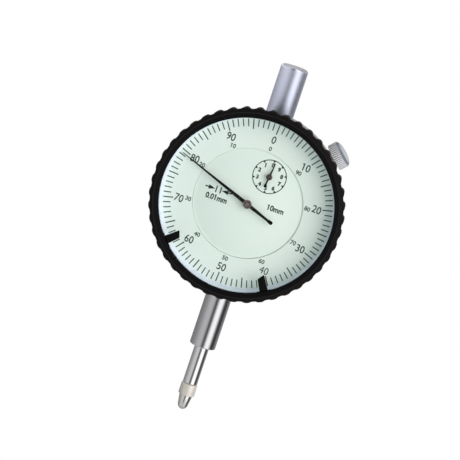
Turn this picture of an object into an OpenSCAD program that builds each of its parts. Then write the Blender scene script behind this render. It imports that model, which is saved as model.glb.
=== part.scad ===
// Plunger dial indicator: 10 mm range, 0.01 mm graduation, one pointer turn per millimetre.
// +Z runs up along the plunger, the dial faces -Y, and +X is to the right seen from the front.
// The origin is on the plunger's axis, at the middle of the stem's clamping length.
// A forward distance is measured from the plunger's axis towards the dial, so along -Y.

/* [Case] */
// Outside diameter of the case
case_d = 53; // [50:0.5:56]
// Thickness of the case's side wall
case_wall = 2.2; // [1.8:0.1:2.8]
// Reach of the case behind the plunger's axis
case_back = 7; // [6.5:0.1:9]
// Thickness of the front web that carries the movement
web_t = 1.3; // [1:0.1:2]
// Diameter of the inner bosses around the stem and the upper bushing
boss_d = 11; // [10:0.5:12]
// Length of those bosses inside the wall
boss_len = 3.8; // [3:0.1:4.5]

/* [Rear cover] */
// Thickness of the cover's plate
cover_t = 1.6; // [1.2:0.1:2.4]
// Step between the case's edge and the cover's edge
cover_step = 0.4; // [0.2:0.1:1]
// Thickness of the mounting lug
lug_t = 5; // [4:0.5:6]
// Width of the lug, which is also the diameter of its round end
lug_w = 14; // [12:0.5:16]
// Diameter of the hole across the lug
lug_hole_d = 6.5; // [5:0.5:8]
// Distance from the cover to the middle of the lug's hole
lug_reach = 8.5; // [7:0.5:12]
// Thread diameter of the cover's screws
cover_screw_d = 2; // [1.6:0.1:2.5]
// Angle of the cover's screws from the horizontal
cover_screw_angle = 28; // [24:1:32]

/* [Stem and plunger] */
// Clamping diameter of the stem
stem_d = 8; // [7:0.5:9.5]
// Length of the stem below its seat on the case
stem_len = 21.5; // [16:0.1:26]
// Step between the stem's clamping surface and its spigot in the case
spigot_step = 0.2; // [0.1:0.05:0.5]
// Chamfer of the stem's lower end
stem_edge = 0.5; // [0.3:0.1:0.8]
// Diameter of the plunger
spindle_d = 4.5; // [4:0.1:5]
// Travel of the plunger
travel = 10.5; // [8:0.5:12]
// Room left between contact point and stem at full travel
stop_gap = 1.8; // [1:0.1:4]
// Height of the plunger's end above the cap's seat
spindle_proud = 2.9; // [2:0.1:4]
// Room left above the plunger in the cap at full travel
cap_room = 0.7; // [0.4:0.1:2]
// Diameter of the bushing above the case
bushing_d = 6.8; // [6.2:0.1:7.2]
// Height of that bushing inside the cap
bushing_proud = 4.5; // [3:0.5:6]
// Diameter of the dust cap
cap_d = 8.4; // [8.2:0.1:10]
// Thickness of the cap's closed end
cap_roof = 1.8; // [1:0.1:2.5]
// Rounding of the cap's end
cap_round = 0.9; // [0.4:0.1:1.2]

/* [Contact point] */
// Diameter of the contact point's collar
collar_d = 5; // [4.6:0.1:6]
// Length of the collar
collar_len = 3.7; // [3:0.1:5]
// Diameter of the cone below the collar
cone_d = 4.1; // [4:0.1:4.5]
// Length of the cone
cone_len = 3.6; // [3:0.1:5]
// Diameter of the ball
ball_d = 2.9; // [2.6:0.1:3.2]
// Diameter of the stud that screws into the plunger
stud_d = 2.5; // [2:0.1:3]
// Length of that stud
stud_len = 4.5; // [3:0.5:6]
// Depth of the ball's middle inside the cone's end
ball_sink = 0.35; // [0.2:0.05:0.6]

/* [Gear train] */
// Travel of the plunger in one turn of the pinion on its rack
turn_travel = 10; // [9.8:0.1:10.4]
// Teeth of the pinion on the rack
rack_pinion_teeth = 17; // [16:1:17]
// Teeth of the drive gear and of the take-up gear
wheel_teeth = 100; // [96:1:104]
// Teeth of the pinion that carries the pointer
centre_teeth = 10; // [10:1:11]
// Thickness of the two large gears
wheel_t = 0.7; // [0.5:0.1:1]
// Play between teeth along the pitch line
backlash = 0.05; // [0.03:0.01:0.07]
// Room for the gears between web and bridge
gear_room = 4.2; // [4:0.1:5]
// Diameter of the arbors
arbor_d = 1.3; // [1.2:0.05:1.35]
// Diameter of the pivots that run in jewels
pivot_d = 0.9; // [0.7:0.1:1]
// Outside diameter of the jewels
jewel_d = 2.2; // [1.8:0.1:2.6]

/* [Springs and guide] */
// Wire of the return spring
spring_wire_d = 0.4; // [0.3:0.05:0.5]
// Middle diameter of the return spring
spring_d = 2.6; // [2.2:0.1:3]
// Turns of the return spring
spring_turns = 10; // [6:1:12]
// Length of the return spring between its two pins
spring_len = 16.5; // [14:0.5:18]
// Distance of the return spring from the plunger's axis
spring_x = 8; // [7.5:0.1:9]
// Diameter of the guide pin across the plunger
guide_pin_d = 1.5; // [1.2:0.1:1.8]
// Height of the guide pin over the dial's centre at rest
guide_pin_z = 1.5; // [0:0.5:3]
// Turns of the hairspring
hair_turns = 4.5; // [3:0.5:5]
// Outer radius of the hairspring
hair_r = 4.9; // [4.5:0.1:5.4]
// Thickness of the hairspring's strip
hair_t = 0.15; // [0.1:0.01:0.2]
// Width of the hairspring's strip
hair_w = 0.6; // [0.4:0.1:0.8]

/* [Bridges] */
// Thickness of both bridges
bridge_t = 1; // [0.8:0.1:1.5]
// Gap between the bridge and the plunger
bridge_gap = 0.75; // [0.6:0.05:1.5]
// Diameter of the bridge plate
bridge_d = 38; // [36:0.5:39]
// Diameter of the pillars and posts
pillar_d = 3.2; // [2.6:0.1:3.6]
// Distance of the pillars from the dial's centre
pillar_r = 16.5; // [16:0.1:17]
// Gap between the plunger and the pinion's rear bridge
rear_bridge_gap = 1.15; // [0.9:0.05:1.5]
// Thread diameter of the movement's screws
small_screw_d = 1.2; // [1:0.1:1.4]

/* [Dial] */
// Thickness of the dial ring and of the inner dial
dial_t = 0.5; // [0.4:0.05:0.8]
// Diameter of the fixed inner dial
inner_dial_d = 32.6; // [32:0.1:34]
// Play between the inner dial and the turning dial ring
dial_play = 0.2; // [0.1:0.05:0.3]
// Height of the inner dial's seat over the web
dial_seat_h = 0.8; // [0.5:0.1:1]
// Gap between the web and the turning dial ring
ring_gap = 1.1; // [1:0.1:1.4]

/* [Pointers] */
// Length of the main pointer from hub to tip
pointer_len = 24.4; // [20:0.1:25]
// Length of the main pointer's tail
pointer_tail = 9.4; // [6:0.1:10]
// Width of the main pointer at the hub
pointer_w = 1; // [0.6:0.05:1.3]
// Thickness of both hands
hand_t = 0.15; // [0.1:0.05:0.3]
// Diameter of the main pointer's hub
hub_d = 2.7; // [2.6:0.1:4]
// Angle of the main pointer at rest, clockwise from the top
pointer_angle = -69.6; // [-180:0.1:180]
// Length of the counter hand
counter_len = 4.5; // [3.5:0.1:4.8]
// Length of the counter hand's tail
counter_tail = 3.3; // [2:0.1:4]
// Angle of the counter hand at rest, clockwise from the top
counter_angle = 7; // [-180:1:180]

/* [Bezel] */
// Wall of the bezel outside its bore
bezel_wall = 2.1; // [1.6:0.1:3]
// Number of grip bumps around the bezel
bump_count = 44; // [30:1:48]
// Height of the grip bumps
bump_h = 0.37; // [0.3:0.01:0.7]
// Width of a grip bump at its foot
bump_w = 2.5; // [1.6:0.1:2.6]
// Width of the lip in front of the crystal
lip_w = 0.6; // [0.5:0.1:1.2]
// Thickness of that lip
lip_t = 0.6; // [0.4:0.1:1]
// Rounding of the bezel's front edge
bezel_round = 0.8; // [0.4:0.1:1]
// Reach of the bezel's skirt over the case
skirt = 2.8; // [2.4:0.1:3.6]
// Wire of the spring that keeps the bezel on the case
bezel_wire_d = 0.7; // [0.5:0.1:0.8]
// Thickness of the crystal
crystal_t = 1.2; // [0.8:0.1:1.6]
// Height of the spacer between crystal and dial ring
spacer_h = 3.2; // [2:0.1:3.6]
// Thickness of the ring that holds the dial ring in the bezel
retainer_t = 0.5; // [0.3:0.05:0.6]

/* [Limit markers] */
// Thickness of the markers
marker_t = 0.45; // [0.3:0.05:0.6]
// Width of the markers at the tip
marker_w = 2.1; // [1.6:0.05:2.5]
// Width of the markers at the bezel's lip
marker_root_w = 2.5; // [2.5:0.05:3.2]
// Reach of a marker's tip inside the bezel's lip
marker_reach = 4.9; // [3:0.1:5]
// Slant of a marker's tip
marker_slant = 0.9; // [0.5:0.1:2]
// Angle of the lower limit's marker, clockwise from the top
low_angle = 150; // [90:1:170]
// Angle of the upper limit's marker, clockwise from the top
high_angle = 228; // [190:1:270]

/* [Clamp screw] */
// Diameter of the clamp screw's knurled head
clamp_head_d = 8.1; // [7:0.1:9]
// Thickness of that head
clamp_head_t = 3.7; // [2.5:0.1:4.5]
// Height of the head's domed face
clamp_dome = 0.5; // [0.2:0.1:0.8]
// Diameter of the clamp screw's shank
clamp_d = 2.8; // [2.4:0.1:3.2]
// Angle of the clamp screw, clockwise from the top
clamp_angle = 44; // [40:1:50]
// Gap between the loosened head and the bezel's skirt
clamp_gap = 0.4; // [0.3:0.1:1]

/* [Fits] */
// Radial clearance of the plunger in its bushings
spindle_fit = 0.04; // [0.02:0.01:0.08]
// Radial clearance of pivots in jewels
pivot_fit = 0.03; // [0.01:0.01:0.05]
// Radial clearance of the bezel on the case
bezel_fit = 0.08; // [0.04:0.01:0.1]
// Radial clearance of pieces that are pressed or screwed together
press_fit = 0.02; // [0.01:0.01:0.04]
// Gap left beside pieces that pass each other
run_gap = 0.15; // [0.1:0.05:0.25]

/* [Hidden] */
$fn = 64;
cut = 1; // how far a cut runs past the face that it opens

// Small steps and allowances
small_edge = 0.3; // chamfer of small turned pieces
end_play = 0.1; // lengthwise play of arbors, pins and threads
seat_margin = 0.4; // rim of the spot faces around stem and cap
seat_depth = 0.1; // depth of those spot faces at their sides
skirt_step = 1; // step between the bezel's grip and its skirt
spacer_lean = 0.5; // how far the crystal's spacer leans in towards the dial
groove_depth = 0.9; // depth of the groove that the limit markers slide in
groove_step = 0.3; // wall between the crystal and that groove
hair_room = 0.85; // gap on both sides of the hairspring
hand_rise = 0.8; // gap between the inner dial and the counter hand
counter_hub_h = 0.3; // height of the counter hand's hub over the hand
hub_h = 0.45; // height of the pointer's hub over the pointer
hub_sink = 0.4; // reach of that hub behind the pointer
rack_depth = 0.25; // depth of the rack's pitch line in the plunger
hub_wall = 0.4; // wall of the collet and room around arbors

// Radii
case_r = case_d / 2;
case_in = case_r - case_wall;
spindle_r = spindle_d / 2;
guide_pin_r = guide_pin_d / 2;
pivot_r = pivot_d / 2;
arbor_r = arbor_d / 2;
ball_r = ball_d / 2;
bore_r = case_r + bezel_fit;
lip_r = bore_r - lip_w;
bezel_r = bore_r + bezel_wall;
skirt_r = bezel_r - skirt_step;
groove_r = lip_r + groove_depth;
spigot_r = stem_d / 2 - spigot_step;
shoulder_r = stem_d / 2 + seat_margin - run_gap;

// Heights, measured up or down from the dial's centre
stem_seat = sqrt(case_r ^ 2 - (stem_d / 2 + seat_margin) ^ 2) - seat_depth;
cap_seat = sqrt(case_r ^ 2 - (cap_d / 2 + seat_margin) ^ 2) - seat_depth;
boss_end = case_in - boss_len;
stem_end = stem_seat + stem_len;
shoulder_end = case_r + small_edge;
dial_z = (shoulder_end + stem_end - stem_edge) / 2;
spindle_top = cap_seat + spindle_proud;
spindle_end = stem_end + travel + stop_gap;
collar_end = spindle_end + collar_len;
cone_end = collar_end + cone_len;
ball_at = cone_end - ball_sink;
cap_inside = spindle_top + travel + cap_room;
bushing_top = cap_seat + bushing_proud;

// Forward distances
bridge_back = spindle_r + bridge_gap;
bridge_front = bridge_back + bridge_t;
web_back = bridge_front + gear_room;
web_front = web_back + web_t;
seat_front = web_front + dial_seat_h;
inner_front = seat_front + dial_t;
ring_back = web_front + ring_gap;
ring_front = ring_back + dial_t;
crystal_back = ring_front + spacer_h;
crystal_front = crystal_back + crystal_t;
groove_back = crystal_front + groove_step;
groove_front = groove_back + marker_t + run_gap;
bezel_front = groove_front + lip_t;
bezel_back = web_front - skirt;
clamp_f = bezel_back - clamp_d / 2 - 2 * run_gap;
knurl_back = clamp_f + clamp_head_d / 2 + 3 * run_gap;
wire_f = (web_front + bezel_back) / 2;
hair_back = bridge_front + hair_room;
wheel_back = hair_back + hair_w + hair_room;
wheel_front = wheel_back + wheel_t;
rear_bridge_front = -spindle_r - rear_bridge_gap;
rear_bridge_back = rear_bridge_front - bridge_t;
cover_back = -case_back - cover_t;
counter_back = inner_front + hand_rise;
counter_top = counter_back + hand_t + counter_hub_h;
pointer_back = counter_top + run_gap;
pointer_front = pointer_back + hand_t;
hub_top = pointer_front + hub_h;

// Gear train, with places in the x-z plane around the dial's centre
rack_pitch = turn_travel / rack_pinion_teeth;
gear_module = rack_pitch / PI;
pressure = 20; // pressure angle of all teeth
addendum = 0.9 * gear_module;
dedendum = 1.25 * gear_module;
rack_line = spindle_r - rack_depth;
centre_dist = pitch_r(wheel_teeth) + pitch_r(centre_teeth);
arbor_x = rack_line + pitch_r(rack_pinion_teeth);
arbor_z = sqrt(centre_dist ^ 2 - arbor_x ^ 2);
drive_at = [-arbor_x, -arbor_z];
counter_at = [arbor_x, arbor_z];
counter_dir = atan2(arbor_z, arbor_x);
drive_dir = counter_dir + 180;
rack_run = 2; // rack left over at each end of the travel
rack_up = floor(rack_run / rack_pitch);
rack_down = floor((travel + rack_run) / rack_pitch);
pinion_w = 2.6; // face width of the pinion on the rack
collet_r = arbor_r + hub_wall;
stud_r = 0.5; // stud that holds the hairspring's outer end
hair_dir = 120; // direction of that stud from the counter's arbor
hair_stud_at = counter_at + (hair_r + hair_t / 2 + stud_r) * [cos(hair_dir), sin(hair_dir)];

// Fasteners and supports
cover_screw_len = 5; // thread of the cover's screws inside the case
cover_boss_r = cover_screw_d + end_play;
cover_boss_at = case_in - 0.7 * cover_boss_r;
cover_places = [
  for (side = [0, 180]) for (turn = [-1, 1])
    let (a = side + turn * cover_screw_angle) cover_boss_at * [cos(a), sin(a)]
];
pillar_places = [for (a = [8, -46, 188, 134]) pillar_r * [cos(a), sin(a)]];
pillar_pin_r = 0.3 * pillar_d; // pins of pillars and posts in the plates under them
pillar_pin = 0.8;
post_x = 5.4; // distance of the rear bridge's posts from the drive gear's arbor
post_rise = 3.8; // and half their distance from each other
post_places = [for (side = [1, -1]) drive_at + [-post_x, side * post_rise]];
small_head_r = small_screw_d + 0.2;
small_head_t = 0.8;
small_screw_len = 2.2; // thread of the movement's screws past the bridge
rail_gap = 0.95; // gap between the plunger and the guide rail
rail_x = spindle_r + rail_gap;
rail_wall = 1.4;
rail_foot_t = 1.1; // thickness of the rail's feet on the bridge
rail_end = 1.75; // rail left over past the slot at each end
rail_w = 2 * small_head_r + hub_wall;
rail_low = guide_pin_z - guide_pin_r - rail_end;
rail_high = guide_pin_z + travel + guide_pin_r + rail_end;
rail_back = bridge_back - rail_foot_t;
rail_places = [for (z = [rail_low - rail_w / 2, rail_high + rail_w / 2]) [rail_x + rail_w / 2, z]];
pin_head_t = 0.4; // head of the guide pin, past the spring
spring_post_r = 0.8;
spring_at = [spring_x, guide_pin_z - spring_len];
spring_steps = 12; // rings in one turn of the return spring's tube
spring_sides = 6;
spring_count = spring_turns * spring_steps;
spring_from = spring_at.y + spring_post_r + spring_wire_d;
spring_to = guide_pin_z - guide_pin_r - small_edge - spring_wire_d;
wire_groove = bezel_wire_d - end_play; // depth of the bezel wire's grooves
wire_room = (bezel_wire_d + end_play) / 2; // half the width of those grooves
clamp_boss_wall = 1.2; // wall of the boss that the clamp screw turns in
retainer_in = 1; // reach of the dial retainer inside the bezel's bore
retainer_out = 0.4; // and into the bezel's groove

// A solid of an outline in the x-z plane around the dial's axis, between two forward distances
module slab(from, to)
  translate([0, -from, dial_z]) rotate([90, 0, 0]) linear_extrude(to - from) children();

// A round rod along the dial's axis, at a place in the x-z plane
module rod(r, from, to, at = [0, 0]) slab(from, to) translate(at) circle(r);

// A washer along the dial's axis
module washer(outer, inner, from, to, at = [0, 0])
  slab(from, to) translate(at) difference() {
    circle(outer);
    circle(inner);
  }

// A shape turned around the dial's axis, from an outline of radius and forward distance
module turned(sweep = 360)
  translate([0, 0, dial_z]) rotate([90, 0, 0]) rotate_extrude(angle = sweep) children();

// A shape turned around the plunger's axis, from an outline of radius and height over the dial
module upright() translate([0, 0, dial_z]) rotate_extrude() children();

// Places a shape that is built along +Z from the dial's centre on the clamp screw's axis
module on_clamp() translate([0, -clamp_f, dial_z]) rotate([0, clamp_angle, 0]) children();

// A slotted screw along the dial's axis, with its head against a face and towards the back
module back_screw(at, d, head_r, head_t, face, len)
  difference() {
    union() {
      rod(d / 2, face, face + len, at);
      rod(head_r, face - head_t, face, at);
    }
    slab(face - head_t - cut, face - head_t / 2)
      translate(at) square([2 * head_r + cut, 0.3 * head_r], center = true);
  }

// Pitch radius of a gear
function pitch_r(teeth) = teeth * gear_module / 2;

// Turn of an involute, in degrees, at a pressure angle
function involute(angle) = tan(angle) * 180 / PI - angle;

// Half the angle that a tooth covers at a radius
function tooth_half(teeth, r) =
  let (base = pitch_r(teeth) * cos(pressure))
  let (here = r > base ? acos(base / r) : 0)
  90 / teeth - backlash / 2 / pitch_r(teeth) * 90 / PI + involute(pressure) - involute(here);

// Outline of a gear with one tooth at angle 0 and a few points on each flank
module gear_outline(teeth, points) {
  low = pitch_r(teeth) - dedendum;
  high = pitch_r(teeth) + addendum;
  radii = [for (i = [0:points - 1]) low + (high - low) * i / (points - 1)];
  polygon([
    for (tooth = [0:teeth - 1]) for (side = [-1, 1]) for (i = [0:points - 1])
      let (r = radii[side < 0 ? i : points - 1 - i])
      let (a = 360 / teeth * tooth + side * tooth_half(teeth, r))
      [r * cos(a), r * sin(a)]
  ]);
}

// Large gear with round windows, turned so that the centre pinion's teeth fall in its gaps
module wheel(at, dir) {
  gap_angle = dir + 180 - (counter_dir - dir) * centre_teeth / wheel_teeth;
  rim_r = pitch_r(wheel_teeth) - dedendum;
  slab(wheel_back, wheel_front) translate(at) rotate(gap_angle + 180 / wheel_teeth) difference() {
    gear_outline(wheel_teeth, 3);
    circle(arbor_r + press_fit);
    for (i = [0:4]) rotate(72 * i) translate([0.58 * rim_r, 0]) circle(0.22 * rim_r);
  }
}

// Arbor along the dial's axis, thinned to pivots at both ends
module arbor(at, back, front, thick_back, thick_front) {
  rod(pivot_r, back, front, at);
  rod(arbor_r, thick_back, thick_front, at);
}

// Body of the case: side wall, front web, dial seat and bosses
module case() {
  seat_r = inner_dial_d / 2 - run_gap;
  color("#b9b4a8") difference() {
    union() {
      turned() polygon([
        [0, web_back], [case_in, web_back], [case_in, -case_back], [case_r, -case_back],
        [case_r, wire_f - wire_room], [case_r - wire_groove, wire_f - wire_room],
        [case_r - wire_groove, wire_f + wire_room], [case_r, wire_f + wire_room],
        [case_r, web_front], [seat_r, web_front], [seat_r, seat_front], [0, seat_front]
      ]);
      for (turn = [0, 180]) translate([0, 0, dial_z]) rotate([turn, 0, 0])
        translate([0, 0, boss_end]) cylinder(d = boss_d, h = boss_len + case_wall / 2);
      for (at = cover_places) rod(cover_boss_r, -case_back, web_back + web_t / 2, at);
      on_clamp() translate([0, 0, boss_end])
        cylinder(r = clamp_d / 2 + clamp_boss_wall, h = boss_len + case_wall / 2);
    }
    translate([0, 0, dial_z - case_r - cut])
      cylinder(r = spigot_r + press_fit, h = case_wall + boss_len + 2 * cut);
    translate([0, 0, dial_z - case_r - 2 * cut])
      cylinder(r = stem_d / 2 + seat_margin, h = case_r - stem_seat + 2 * cut);
    translate([0, 0, dial_z + boss_end - cut])
      cylinder(d = bushing_d + 2 * press_fit, h = case_wall + boss_len + 2 * cut);
    translate([0, 0, dial_z + cap_seat])
      cylinder(r = cap_d / 2 + seat_margin, h = case_r - cap_seat + 2 * cut);
    on_clamp() translate([0, 0, boss_end - cut])
      cylinder(r = clamp_d / 2 + spindle_fit, h = boss_len + case_wall + 2 * cut);
    for (at = cover_places)
      rod(cover_screw_d / 2 + press_fit, -case_back - cut, cover_screw_len - case_back, at);
    for (at = [[0, 0], drive_at, counter_at]) rod(jewel_d / 2 + press_fit, web_back - cut, web_front, at);
    for (at = [[0, 0], counter_at]) rod(arbor_r, web_back, seat_front + cut, at);
    for (at = pillar_places) rod(pillar_pin_r + press_fit, web_back - cut, web_back + pillar_pin, at);
  }
}

// Rear cover with the mounting lug
module rear_cover() {
  lug_out = lug_reach + cover_t / 2;
  color("#aeb0b2") difference() {
    union() {
      rod(case_r - cover_step, cover_back, -case_back);
      translate([-lug_t / 2, case_back + cover_t / 2, dial_z])
        rotate([90, 0, 90]) linear_extrude(lug_t) union() {
          translate([0, -lug_w / 2]) square([lug_out, lug_w]);
          translate([lug_out, 0]) circle(lug_w / 2);
        }
    }
    translate([-lug_t / 2 - cut, lug_reach - cover_back, dial_z])
      rotate([0, 90, 0]) cylinder(d = lug_hole_d, h = lug_t + 2 * cut);
    for (at = cover_places) rod(cover_screw_d / 2 + press_fit, cover_back - cut, cut - case_back, at);
  }
}

// Four screws of the rear cover
module rear_cover_screws()
  color("#8f9296") for (at = cover_places)
    back_screw(at, cover_screw_d, 0.95 * cover_screw_d, 0.55 * cover_screw_d,
      cover_back, cover_t + cover_screw_len - small_edge);

// Stem: a shoulder and the clamping surface outside, two bearing lands for the plunger inside
module stem() {
  land_r = spindle_r + spindle_fit;
  land = 0.25 * stem_len;
  relief_r = land_r + small_edge;
  color("#c2c4c6") upright() polygon([
    [land_r, -boss_end], [spigot_r, -boss_end], [spigot_r, -stem_seat], [shoulder_r, -stem_seat],
    [shoulder_r, -shoulder_end], [stem_d / 2, -shoulder_end], [stem_d / 2, stem_edge - stem_end],
    [stem_d / 2 - stem_edge, -stem_end], [land_r, -stem_end], [land_r, land - stem_end],
    [relief_r, land - stem_end],
    [relief_r, -stem_seat - land / 2], [land_r, -stem_seat - land / 2]
  ]);
}

// Bushing that guides the plunger's upper end and carries the cap
module upper_bushing() {
  land_r = spindle_r + spindle_fit;
  color("#c9a85a") upright() polygon([
    [land_r, boss_end], [bushing_d / 2, boss_end], [bushing_d / 2, bushing_top - small_edge],
    [bushing_d / 2 - small_edge, bushing_top], [land_r, bushing_top]
  ]);
}

// Dust cap over the plunger's upper end
module dust_cap() {
  top = cap_inside + cap_roof;
  bore = bushing_d / 2 + press_fit;
  color("#cfd3d8") upright() polygon(concat(
    [[bore, cap_seat], [cap_d / 2, cap_seat]],
    [for (a = [0:15:90]) [cap_d / 2 - cap_round * (1 - cos(a)), top - cap_round * (1 - sin(a))]],
    [[0, top], [0, cap_inside], [bore, cap_inside]]
  ));
}

// Outline that is cut from the plunger's left side to leave the rack
module rack_cut() {
  lean = tan(pressure);
  half = rack_pitch / 4 + backlash / 4;
  past = spindle_r + cut;
  tip = rack_line + addendum;
  root = rack_line - dedendum;
  translate([-past, -arbor_z - (rack_down + 0.5) * rack_pitch])
    square([past - tip, (rack_up + rack_down + 1) * rack_pitch]);
  for (i = [-rack_down:rack_up]) translate([0, i * rack_pitch - arbor_z]) polygon([
    [-past, half + addendum * lean], [-tip, half + addendum * lean], [-root, half - dedendum * lean],
    [-root, dedendum * lean - half], [-tip, -half - addendum * lean], [-past, -half - addendum * lean]
  ]);
}

// Plunger with the rack on its left, the guide pin's hole and the contact point's thread
module spindle()
  color("#d5d7d9") difference() {
    upright() polygon([
      [0, -spindle_end], [spindle_r - small_edge, -spindle_end], [spindle_r, small_edge - spindle_end],
      [spindle_r, spindle_top - small_edge], [spindle_r - small_edge, spindle_top], [0, spindle_top]
    ]);
    slab(-spindle_r - cut, spindle_r + cut) rack_cut();
    translate([0, 0, dial_z - spindle_end - cut])
      cylinder(r = stud_d / 2 + press_fit, h = stud_len + small_edge + cut);
    translate([0, 0, dial_z + guide_pin_z]) rotate([0, 90, 0])
      cylinder(r = guide_pin_r + press_fit, h = spindle_r + cut);
  }

// Contact point: threaded stud, collar and cone with a seat for the ball
module contact_point() {
  rim = ball_r + 0.06;
  color("#bdb9b2") difference() {
    upright() polygon([
      [0, stud_len - spindle_end], [stud_d / 2, stud_len - spindle_end], [stud_d / 2, -spindle_end],
      [collar_d / 2 - small_edge, -spindle_end], [collar_d / 2, -spindle_end - small_edge],
      [collar_d / 2, small_edge - collar_end], [cone_d / 2, -collar_end], [rim, -cone_end], [0, -cone_end]
    ]);
    translate([0, 0, dial_z - ball_at]) sphere(ball_r + press_fit);
  }
}

// Hard ball that touches the work
module contact_ball() color("#9a9ca0") translate([0, 0, dial_z - ball_at]) sphere(ball_r);

// Pin across the plunger that slides in the guide rail and pulls on the return spring
module guide_pin() {
  end = spring_x + spring_d / 2;
  color("#b5b8bb") translate([0, 0, dial_z + guide_pin_z]) rotate([0, 90, 0]) {
    cylinder(r = guide_pin_r, h = end);
    translate([0, 0, end - pin_head_t]) cylinder(r = guide_pin_r + small_edge, h = pin_head_t);
  }
}

// Slotted rail that keeps the plunger from turning
module guide_rail() {
  slot = guide_pin_r + spindle_fit;
  color("#a9acae") difference() {
    union() {
      slab(rail_back, bridge_back) translate([rail_x, rail_low - rail_w])
        square([rail_w, rail_high - rail_low + 2 * rail_w]);
      slab(-guide_pin_r - 1, bridge_back) translate([rail_x, rail_low])
        square([rail_wall, rail_high - rail_low]);
    }
    translate([rail_x - cut, -slot, dial_z + guide_pin_z - guide_pin_r - run_gap])
      cube([rail_wall + 2 * cut, 2 * slot, travel + 2 * guide_pin_r + 2 * run_gap]);
    for (at = rail_places) rod(small_screw_d / 2 + press_fit, rail_back - cut, bridge_back + cut, at);
  }
}

// Two screws of the guide rail
module guide_rail_screws()
  color("#8f9296") for (at = rail_places)
    back_screw(at, small_screw_d, small_head_r, small_head_t, rail_back, rail_foot_t + bridge_t - end_play);

// A point on the return spring's tube, out from the tube's middle line at an angle around it
function spring_point(i, around, out) =
  let (a = 360 * i / spring_steps)
  let (r = spring_d / 2 + out * cos(around))
  [r * cos(a), r * sin(a), spring_from + (spring_to - spring_from) * i / spring_count + out * sin(around)];

// Return spring, an open coil between the post and the guide pin
module return_spring() {
  tube = [
    for (i = [0:spring_count]) for (s = [0:spring_sides - 1])
      spring_point(i, 360 * s / spring_sides, spring_wire_d / 2)
  ];
  sides = [
    for (i = [0:spring_count - 1]) for (s = [0:spring_sides - 1])
      let (a = i * spring_sides + s)
      let (b = i * spring_sides + (s + 1) % spring_sides)
      each [[a, b, a + spring_sides], [b, b + spring_sides, a + spring_sides]]
  ];
  low_end = [for (s = [1:spring_sides - 2]) [0, s + 1, s]];
  last = spring_count * spring_sides;
  high_end = [for (s = [1:spring_sides - 2]) [last, last + s, last + s + 1]];
  color("#9fa3a8") translate([spring_x, 0, dial_z]) polyhedron(tube, concat(sides, low_end, high_end));
}

// Post that holds the return spring's lower end
module spring_post()
  color("#b5b8bb") rod(spring_post_r, -spring_d / 2, bridge_front - end_play, spring_at);

// Arbor with the pinion that the rack turns
module rack_pinion()
  color("#c8ccd0") {
    arbor(drive_at, rear_bridge_back + end_play, web_front - 2 * end_play,
      rear_bridge_front + end_play, web_back - end_play);
    slab(-pinion_w / 2, pinion_w / 2) translate(drive_at) gear_outline(rack_pinion_teeth, 4);
  }

// Gear on the same arbor that drives the centre pinion
module drive_gear() color("#c9a24a") wheel(drive_at, drive_dir);

// Rear bridge for the rack pinion's arbor
module pinion_bridge() {
  eye = jewel_d / 2 + 0.8;
  color("#b9934a") slab(rear_bridge_back, rear_bridge_front) difference() {
    union() {
      for (at = post_places) translate(at) circle(pillar_d / 2);
      translate(post_places[1] - [pillar_d / 2, 0])
        square([pillar_d, post_places[0].y - post_places[1].y]);
      translate([post_places[0].x, drive_at.y - eye]) square([drive_at.x - post_places[0].x, 2 * eye]);
      translate(drive_at) circle(eye);
    }
    translate(drive_at) circle(jewel_d / 2 + press_fit);
    for (at = post_places) translate(at) circle(small_screw_d / 2 + press_fit);
  }
}

// Pillar along the dial's axis with a pin at its front and a threaded hole at its back
module pillar(at, back, front)
  difference() {
    union() {
      rod(pillar_d / 2, back, front, at);
      rod(pillar_pin_r, back, front + pillar_pin - end_play, at);
    }
    rod(small_screw_d / 2 + press_fit, back - cut, back + small_screw_len + small_edge, at);
  }

// Two posts under the rear bridge
module pinion_bridge_posts()
  color("#c2c5c8") for (at = post_places) pillar(at, rear_bridge_front, bridge_back);

// Two screws of the rear bridge
module pinion_bridge_screws()
  color("#8f9296") for (at = post_places)
    back_screw(at, small_screw_d, small_head_r, small_head_t, rear_bridge_back, bridge_t + small_screw_len);

// Centre arbor with its pinion
module centre_pinion()
  color("#c8ccd0") {
    arbor([0, 0], bridge_back + end_play, hub_top + end_play, bridge_front + end_play, web_back - end_play);
    slab(wheel_back - small_edge, wheel_front + small_edge)
      rotate(counter_dir) gear_outline(centre_teeth, 4);
  }

// Arbor of the take-up gear, which also carries the counter hand
module counter_arbor()
  color("#c8ccd0")
    arbor(counter_at, bridge_back + end_play, counter_top + end_play / 2,
      bridge_front + end_play, web_back - end_play);

// Gear that takes up the play in the train
module takeup_gear() color("#c9a24a") wheel(counter_at, counter_dir);

// Spiral hairspring from the collet to its stud
module hairspring() {
  steps = 24 * hair_turns;
  from = collet_r + hair_t / 2 + press_fit;
  function at(i, out) =
    let (a = hair_dir - 360 * (hair_turns - i / 24))
    (from + (hair_r - from) * i / steps + out) * [cos(a), sin(a)];
  color("#7f93b8") slab(hair_back, hair_back + hair_w) translate(counter_at) polygon(concat(
    [for (i = [0:steps]) at(i, -hair_t / 2)],
    [for (i = [steps:-1:0]) at(i, hair_t / 2)]
  ));
}

// Collet that holds the hairspring's inner end
module hairspring_collet()
  color("#c9a24a") washer(collet_r, arbor_r + press_fit, hair_back - 2 * end_play,
    hair_back + hair_w + 2 * end_play, counter_at);

// Stud that holds the hairspring's outer end
module hairspring_stud()
  color("#c8ccd0")
    rod(stud_r, bridge_back + 2 * end_play, hair_back + hair_w + 2 * end_play, hair_stud_at);

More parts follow.
